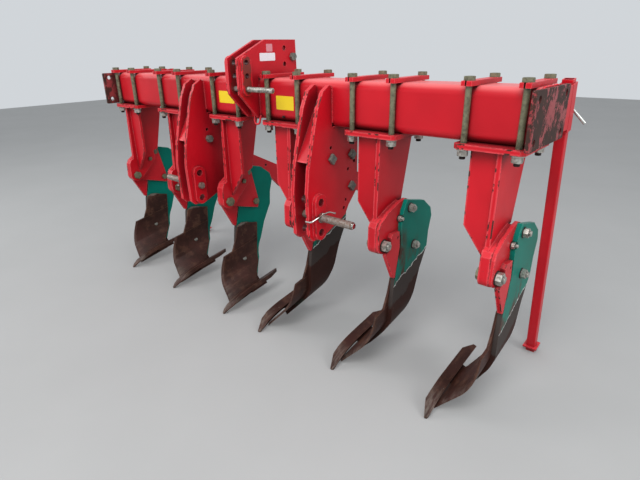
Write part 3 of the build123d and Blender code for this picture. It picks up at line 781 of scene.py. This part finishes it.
def make_leg_bolts():
    """Bolts of all legs, with washers, nuts and thread tips outside."""
    shape = bmesh.new()
    draw = Random(7)
    for number, hand in legs:
        for diameter, flats, inner, outer, y, z, tip in leg_bolts:
            placed = across_beam(leg_x[number], beam_y + y, z, hand, draw.uniform(0, pi / 3))
            inwards = placed @ Matrix.Rotation(pi, 4, "X")
            nut = nut_share * diameter
            add_head(shape, inwards, -inner, head_share * diameter, flats)
            add_disc(shape, placed, inner, outer - inner, diameter)
            add_disc(shape, placed, outer, leg_washer_thick, flats * washer_share, 1)
            add_nut(shape, placed, outer + leg_washer_thick, nut, flats, 2)
            add_thread(shape, placed, outer + leg_washer_thick + nut, tip, diameter, 2)
    finished("leg_bolt_set", shape, ["olive", "dark", "zinc"], ["leg_bolts"])


def make_straps():
    """Clamp straps, each with a saw slit from its bolts out to both ends."""
    half_length = strap_length / 2
    outline = []
    for end in (-1, 1):
        low, high = (slit_low, slit_high) if end < 0 else (slit_high, slit_low)
        outline += [
            (end * strap_half_width, end * half_length),
            (low, end * half_length),
            (low, end * clamp_half_y),
            (high, end * clamp_half_y),
            (high, end * half_length),
            (-end * strap_half_width, end * half_length),
        ]
    shape = bmesh.new()
    for leg_middle in leg_x.values():
        for side in (-1, 1):
            x = leg_middle + side * clamp_half_x
            corners = [shape.verts.new((x + dx, beam_y + dy, beam_top)) for dx, dy in outline]
            extrude(shape, corners, (0, 0, strap_top - beam_top))
    rims = []
    for edge in shape.edges:
        if min(corner.co.z for corner in edge.verts) > strap_top - 0.001:
            rims.append(edge)
    bmesh.ops.bevel(
        shape, geom=rims, offset=strap_edge, segments=2, affect="EDGES", clamp_overlap=True,
    )
    finished("clamp_strap_set", shape, ["frame"], ["clamp_straps"])


def merged(name, new_name):
    """A copy of a CAD piece's mesh with its doubled corners joined."""
    source = nodes[name].data
    corners = [tuple(corner.co) for corner in source.vertices]
    faces = [tuple(face.vertices) for face in source.polygons]
    data = bpy.data.meshes.new(new_name)
    data.from_pydata(corners, [], faces)
    whole = bmesh.new()
    whole.from_mesh(data)
    bmesh.ops.remove_doubles(whole, verts=whole.verts, dist=merge_distance)
    whole.to_mesh(data)
    whole.free()
    return data


def cut_copy(name, new_name, finish, corners, depth):
    """A copy of a CAD piece, kept only inside a prism over the corners."""
    target = linked("uncut_" + new_name, merged(name, new_name))
    prism = bmesh.new()
    extrude(prism, [prism.verts.new(corner) for corner in corners], depth)
    bmesh.ops.recalc_face_normals(prism, faces=prism.faces)
    cutter_data = bpy.data.meshes.new("cutter")
    prism.to_mesh(cutter_data)
    prism.free()
    cutter = linked("cutter", cutter_data)
    cut = target.modifiers.new("cut", "BOOLEAN")
    cut.operation = "INTERSECT"
    cut.solver = "EXACT"
    cut.object = cutter
    bpy.context.view_layer.update()
    evaluated = target.evaluated_get(bpy.context.evaluated_depsgraph_get())
    shape = bmesh.new()
    shape.from_mesh(bpy.data.meshes.new_from_object(evaluated))
    for spare in (target, cutter):
        bpy.data.objects.remove(spare)
    finished(new_name, shape, [finish], [name])


# Outline of the tine seen from the side, Y and Z, with the waist that the photograph shows
tine_outline = [
    (-0.20, 1.00), (0.40, 1.00), (0.40, 0.46), (0.190, 0.414), (0.152, 0.310),
    (0.120, 0.250), (0.097, 0.195), (0.050, 0.148), (0.016, 0.112), (0.016, 0.060),
    (-0.040, 0.020), (-0.075, -0.020), (-0.140, -0.020), (-0.122, 0.040), (-0.118, 0.100),
    (-0.070, 0.150), (-0.055, 0.210), (-0.060, 0.290), (-0.056, 0.350), (-0.046, 0.430),
    (-0.020, 0.520), (-0.20, 0.60),
]
# Outline of the point bar seen from above, X outwards from the clamp's middle and Y
point_outline = [
    (-0.118, 0.30), (0.10, 0.30), (0.10, -0.26),
    (-0.058, -0.40), (-0.0655, -0.318), (-0.118, -0.208),
]
cut_half_width = 0.5
cut_low = -0.02
cut_height = 0.5


def make_tines():
    """Tines with their waist, set back behind the share."""
    for number, x in leg_x.items():
        corners = [(x - cut_half_width, beam_y + y, z) for y, z in tine_outline]
        depth = (2 * cut_half_width, 0, 0)
        name = f"leg_{number}_tine"
        cut_copy(name, f"tine_blade_{number}", f"tine_{number}", corners, depth)


def make_points():
    """Point bars with the inner corner of the tip worn away."""
    for number, hand in legs:
        corners = [(leg_x[number] + hand * x, beam_y + y, cut_low) for x, y in point_outline]
        depth = (0, 0, cut_height)
        cut_copy(f"leg_{number}_point", f"point_bar_{number}", "worn", corners, depth)


# The share's plate: its slant from upright and the rise of its fold line
share_slant = radians(45)
share_rise = radians(11.4)


def make_shares():
    """Shares drawn out along the blade until their low edge meets the point bar."""
    drawn_out = 0.040
    end_face = 0.002
    for number, hand in legs:
        name = f"leg_{number}_share"
        shape = bmesh.new()
        shape.from_mesh(nodes[name].data)
        bmesh.ops.remove_doubles(shape, verts=shape.verts, dist=merge_distance)
        down = Vector((
            -hand * sin(share_slant),
            cos(share_slant) * sin(share_rise),
            -cos(share_slant) * cos(share_rise),
        ))
        reach = {corner: corner.co.dot(down) for corner in shape.verts}
        furthest = max(reach.values())
        for corner, distance in reach.items():
            if distance > furthest - end_face:
                corner.co += down * drawn_out
        finished(f"share_plate_{number}", shape, ["worn"], [name])


def make_share_bolts():
    """Flush bolt heads in the shares, worn level with the steel."""
    shape = bmesh.new()
    for number, hand in legs:
        inward = Vector((
            -hand * cos(share_slant),
            -sin(share_slant) * sin(share_rise),
            sin(share_slant) * cos(share_rise),
        ))
        place = Vector((leg_x[number] + hand * 0.069, beam_y - 0.015, 0.222))
        turned = inward.to_track_quat("Z", "Y").to_matrix().to_4x4()
        add_disc(shape, Matrix.Translation(place) @ turned, -0.006, 0.009, 0.026)
    finished("share_bolt_heads", shape, ["grey"])


def make_stand_pins():
    """Bent lock pins of the stands: straight into the sleeve, then out and down."""
    radius = 0.007
    tip_radius = radius * 0.8
    tip_length = 0.002
    for name, hand in (("stand_pin_right", 1), ("stand_pin_left", -1)):
        low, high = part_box(name)
        stand_x = centre("stand_right" if hand > 0 else "stand_left", 0)
        start = Vector((stand_x, low.y, high.z - radius - 0.004))
        corner = Vector((stand_x, low.y + 0.040, high.z - radius))
        end = corner + Vector((hand * 0.068, 0.004, -0.068))
        points = bent([start, corner, end], 0.020, 8)
        radii = [radius] * len(points) + [tip_radius]
        along = (points[-1] - points[-2]).normalized()
        points.insert(-1, points[-1] - along * tip_length)
        shape = bmesh.new()
        add_bar(shape, points, radii, sides=16)
        finished(f"bent_{name}", shape, ["chrome"], [name])


def make_top_pin():
    """Top link pin with a ribbed shank and both ends bevelled."""
    low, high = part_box("top_link_pin")
    radius = (high.z - low.z) / 2
    placed = across_beam(0, (low.y + high.y) / 2, (low.z + high.z) / 2, 1)
    plain = 0.15
    end_margin = 0.02
    rib = 0.015
    groove = radius - 0.004
    rings = [round_ring(radius - 0.003, low.x), round_ring(radius, low.x + 0.003)]
    x = low.x + plain
    while x + rib < high.x - end_margin:
        rings += [round_ring(radius, x), round_ring(groove, x + 0.25 * rib)]
        rings += [round_ring(groove, x + 0.55 * rib), round_ring(radius, x + 0.8 * rib)]
        x += rib
    rings += [round_ring(radius, high.x - 0.004), round_ring(groove, high.x)]
    shape = bmesh.new()
    add_turned(shape, placed, rings)
    finished("ribbed_top_pin", shape, ["zinc"], ["top_link_pin"])


# Bent wires on the right: X, Y and Z of their corners
clip_path = [
    (0.506, -0.285, 0.725), (0.530, -0.275, 0.722), (0.543, -0.238, 0.738),
    (0.543, -0.207, 0.7485), (0.556, -0.202, 0.752), (0.576, -0.198, 0.764),
    (0.608, -0.195, 0.762),
]
rod_path = [
    (0.010, -0.1045, 1.170), (0.014, -0.116, 1.120), (0.030, -0.122, 1.102),
    (0.056, -0.122, 1.108), (0.060, -0.112, 1.150),
]


def make_pin_fittings():
    """Bright end bolts and bent wire clips of the lower link pins."""
    shape = bmesh.new()
    wire = 0.0042
    washer = 0.002
    for side in (-1, 1):
        low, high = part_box("link_pin_right" if side > 0 else "link_pin_left")
        outer = high.x if side > 0 else -low.x
        placed = across_beam(0, beam_y + link_y, link_z, side)
        add_disc(shape, placed, outer, washer, 0.030)
        add_head(shape, placed, outer + washer, 0.007, 0.024)
        points = bent([(side * x, beam_y + y, z) for x, y, z in clip_path], 0.008)
        add_bar(shape, points, [wire] * len(points))
    finished("link_pin_fittings", shape, ["chrome"])


def make_small_fittings():
    """A grease screw on the beam's front and the bent rod below the headstock."""
    shape = bmesh.new()
    washer = 0.003
    front = Matrix.Translation((0.211, beam_front, 1.150)) @ Matrix.Rotation(pi / 2, 4, "X")
    add_disc(shape, front, 0, washer, 0.013, 1)
    add_head(shape, front, washer, 0.006, 0.009, 1)
    points = bent([(x, beam_y + y, z) for x, y, z in rod_path], 0.009)
    add_bar(shape, points, [0.005] * len(points))
    finished("small_fittings", shape, ["frame", "dark"])


# Weld beads: the gap between ripples, and lines of a leg's bracket as X outwards, Y and Z
ripple = 0.003
bracket_beads = [
    ((0.031, -0.112, beam_bottom - base_thick), (0.031, 0.136, beam_bottom - base_thick)),
    ((0.052, -0.112, beam_bottom - base_thick), (0.052, 0.136, beam_bottom - base_thick)),
    ((-0.074, -0.098, beam_bottom - base_thick), (0.029, -0.098, beam_bottom - base_thick)),
    ((-0.074, -0.083, beam_bottom - base_thick), (0.029, -0.083, beam_bottom - base_thick)),
    ((0.031, -0.098, 1.100), (0.031, -0.098, 0.74)),
    ((0.052, -0.148, 0.745), (0.052, -0.046, 0.787), (0.052, 0.026, 0.8055)),
]
# The bead round the beam at an end plate, Y and Z in half widths of the beam
beam_round = [
    (-0.7, -1), (0.7, -1), (0.93, -0.93), (1, -0.7), (1, 0.7), (0.93, 0.93),
    (0.7, 1), (-0.7, 1), (-0.93, 0.93), (-1, 0.7), (-1, -0.7), (-0.93, -0.93), (-0.7, -1),
]


def add_bead(shape, draw, points, radius):
    """One bead: close ripples along a line, a little uneven."""
    places = spread(points, ripple)
    radii = []
    for index in range(len(places)):
        radii.append(radius * (0.85 + 0.3 * (index % 2) + draw.uniform(-0.12, 0.12)))
    add_bar(shape, places, radii, sides=6)


def slot_line(x, y, low, high, radius):
    """A closed line round a slot-shaped boss."""
    points = []
    for middle, start in ((high, 0), (low, pi)):
        for index in range(9):
            angle = start + pi * index / 8
            points.append((x, y + radius * cos(angle), middle + radius * sin(angle)))
    return points + [points[0]]


def make_welds():
    """Weld beads where the frame's plates meet."""
    shape = bmesh.new()
    draw = Random(23)
    for number, hand in legs:
        for line in bracket_beads:
            points = [(leg_x[number] + hand * x, beam_y + y, z) for x, y, z in line]
            add_bead(shape, draw, points, 0.0035)
    half = (beam_top - beam_bottom) / 2
    middle = (beam_top + beam_bottom) / 2
    for side in (-1, 1):
        for face in link_plate_faces:
            x = side * face
            front = [(x, beam_front, 1.300), (x, beam_front, beam_bottom + 0.02)]
            below = [(x, beam_y - 0.095, beam_bottom), (x, beam_y + 0.092, beam_bottom)]
            add_bead(shape, draw, front, 0.0045)
            add_bead(shape, draw, below, 0.004)
        boss = slot_line(side * link_plate_faces[1], beam_y + link_y, *link_holes, 0.039)
        add_bead(shape, draw, boss, 0.0035)
        x = side * headstock_face
        front = [(x, beam_front, beam_top - 0.03), (x, beam_front, beam_bottom + 0.012)]
        above = [(x, beam_y - 0.07, beam_top), (x, beam_y + 0.148, beam_top)]
        add_bead(shape, draw, front, 0.0045)
        add_bead(shape, draw, above, 0.0045)
        boss = slot_line(x, beam_y + top_link_y, *top_link_holes, 0.032)
        add_bead(shape, draw, boss, 0.003)
        end = [(side * beam_end, beam_y + y * half, middle + z * half) for y, z in beam_round]
        add_bead(shape, draw, end, 0.004)
    finished("weld_beads", shape, ["weld"])


sticker_corner = 0.004
sticker_thick = 0.0006


def add_sticker(shape, middle, across, upward, width, height, finish):
    """A thin rounded rectangle on a flat face."""
    out = across.cross(upward)
    half_across = width / 2 - sticker_corner
    half_up = height / 2 - sticker_corner
    ring = []
    for turn, (side, level) in enumerate(((1, 1), (-1, 1), (-1, -1), (1, -1))):
        hub = middle + across * side * half_across + upward * level * half_up
        for index in range(5):
            angle = pi / 2 * (turn + index / 4)
            reach = across * sticker_corner * cos(angle)
            ring.append(hub + reach + upward * sticker_corner * sin(angle))
    low = [shape.verts.new(point) for point in ring]
    high = [shape.verts.new(point + out * sticker_thick) for point in ring]
    skin(shape, [low, high], finish)


def make_stickers():
    """Blank stickers on the beam's front and on the headstock's right plate."""
    shape = bmesh.new()
    along, up, back = Vector((1, 0, 0)), Vector((0, 0, 1)), Vector((0, 1, 0))
    beam_left = Vector((-0.2185, beam_front, 1.223))
    beam_right = Vector((0.221, beam_front, 1.216))
    plate_low = Vector((headstock_face, beam_y - 0.0315, 1.423))
    plate_high = Vector((headstock_face, beam_y - 0.0165, 1.465))
    add_sticker(shape, beam_left, along, up, 0.124, 0.062, 0)
    add_sticker(shape, beam_right, along, up, 0.117, 0.065, 0)
    add_sticker(shape, plate_low, back, up, 0.105, 0.037, 1)
    add_sticker(shape, plate_high, back, up, 0.042, 0.036, 2)
    finished("blank_stickers", shape, ["yellow", "white", "pink"])


# Stage

floor_half = 14.0
sky_strength = 0.74


def add_floor():
    """Plain pale floor."""
    made, tree, shader = new_material("floor")
    colour = blend(tree, noise(tree, 1.2, 4), floor_dark, floor_pale)
    tree.links.new(colour, shader.inputs["Base Color"])
    shader.inputs["Roughness"].default_value = 0.85
    corners = [(x * floor_half, y * floor_half, 0) for x, y in ((-1, -1), (1, -1), (1, 1), (-1, 1))]
    mesh = bpy.data.meshes.new("floor")
    mesh.from_pydata(corners, [], [(0, 1, 2, 3)])
    mesh.materials.append(made)
    linked("floor", mesh)


def add_area_light(name, place, target, size, power):
    """A large soft light that looks at a point."""
    data = bpy.data.lights.new(name, "AREA")
    data.shape = "DISK"
    data.size = size
    data.energy = power
    lamp = linked(name, data)
    away = Vector(place) - Vector(target)
    turned = away.to_track_quat("Z", "Y").to_matrix().to_4x4()
    lamp.matrix_world = Matrix.Translation(Vector(place)) @ turned


def add_light():
    """An overcast sky: bright all round, and a broad light from above the camera."""
    world = bpy.data.worlds.new("sky")
    world.use_nodes = True
    back = world.node_tree.nodes["Background"]
    back.inputs["Color"].default_value = sky_colour
    back.inputs["Strength"].default_value = sky_strength
    bpy.context.scene.world = world
    add_area_light("key", (2.0, -4.2, 5.5), (0, 0, 0.7), 4.0, 295)
    add_area_light("side", (5.5, -0.5, 3.0), (0, 0, 0.8), 3.0, 85)
    add_area_light("fill", (-4.5, -3.0, 3.5), (0, 0, 0.7), 3.0, 80)


bpy.context.scene.view_settings.view_transform = "Standard"
add_camera()
make_materials()
dress_nodes()
make_clamp_bolts()
make_leg_bolts()
make_straps()
make_tines()
make_points()
make_shares()
make_stand_pins()
make_welds()
make_top_pin()
make_pin_fittings()
make_share_bolts()
make_stickers()
make_small_fittings()
add_floor()
add_light()
